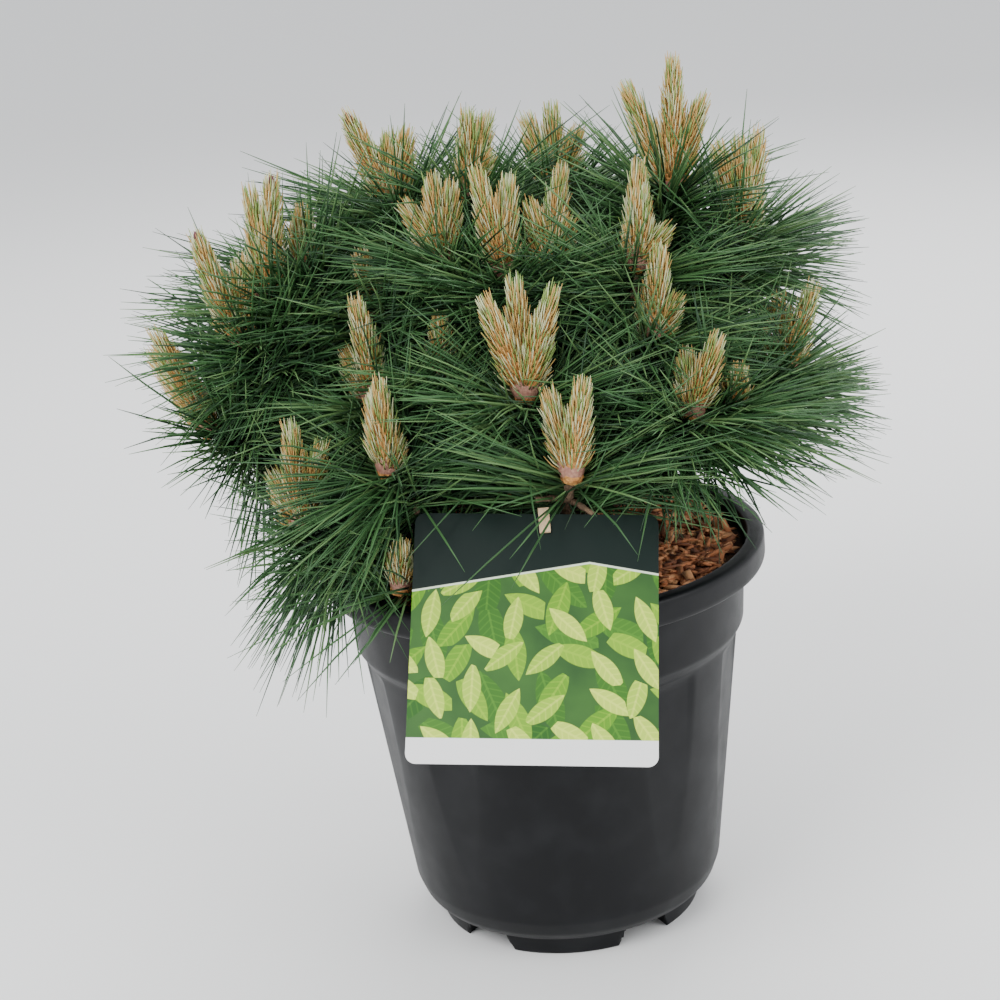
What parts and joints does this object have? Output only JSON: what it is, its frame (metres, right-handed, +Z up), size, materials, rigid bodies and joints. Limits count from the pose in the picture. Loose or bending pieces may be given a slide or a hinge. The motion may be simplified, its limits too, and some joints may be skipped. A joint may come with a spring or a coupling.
{
  "type": "potted dwarf austrian pine",
  "caption": "Compact dwarf pine with upright young candles over long dark needles, in a round black nursery pot with a blank-worded plant card",
  "frame": {"origin": "middle of the pot's flat underside, on its axis, where it stands", "axes": "+Z up along the pot's axis; the plant card faces -Y; +X to the right seen from the card's side"},
  "size_m": [0.5274, 0.4417, 0.5497],
  "materials": {
    "pot": "semi-matt black",
    "soil": "loose bark mulch",
    "bark": "rough bark",
    "foliage": "stiff needles",
    "card": "printed satin card",
    "peg": "bare wood"
  },
  "bodies": {
    "root": {"pot": "pot", "soil": "soil", "trunk": "bark", "bough_top_right": "bark", "bough_upper_right": "bark", "bough_top_front": "bark", "bough_top_left": "bark", "bough_upper_left": "bark", "bough_far_left": "bark", "bough_low_left": "bark", "bough_front_left": "bark", "bough_middle_left": "bark", "bough_front_middle": "bark", "bough_front_low": "bark", "bough_middle_right": "bark", "bough_front_right": "bark", "bough_far_right": "bark", "bough_rim_left": "bark", "bough_back_low_1": "bark", "bough_back_low_2": "bark", "bough_back_low_3": "bark", "bough_back_low_4": "bark", "bough_back_low_5": "bark", "bough_back_high_1": "bark", "bough_back_high_2": "bark", "bough_back_high_3": "bark", "foliage_top_right": "foliage", "foliage_upper_right": "foliage", "foliage_top_back": "foliage", "foliage_top_front": "foliage", "foliage_top_left": "foliage", "foliage_upper_left": "foliage", "foliage_far_left": "foliage", "foliage_low_left": "foliage", "foliage_front_left": "foliage", "foliage_middle_left": "foliage", "foliage_front_middle": "foliage", "foliage_front_low": "foliage", "foliage_middle_right": "foliage", "foliage_front_right": "foliage", "foliage_far_right": "foliage", "foliage_rim_left": "foliage", "foliage_back_low_1": "foliage", "foliage_back_low_2": "foliage", "foliage_back_low_3": "foliage", "foliage_back_low_4": "foliage", "foliage_back_low_5": "foliage", "foliage_back_high_1": "foliage", "foliage_back_high_2": "foliage", "foliage_back_high_3": "foliage", "plant_card": "card", "card_peg": "peg"}
  },
  "joints": []
}
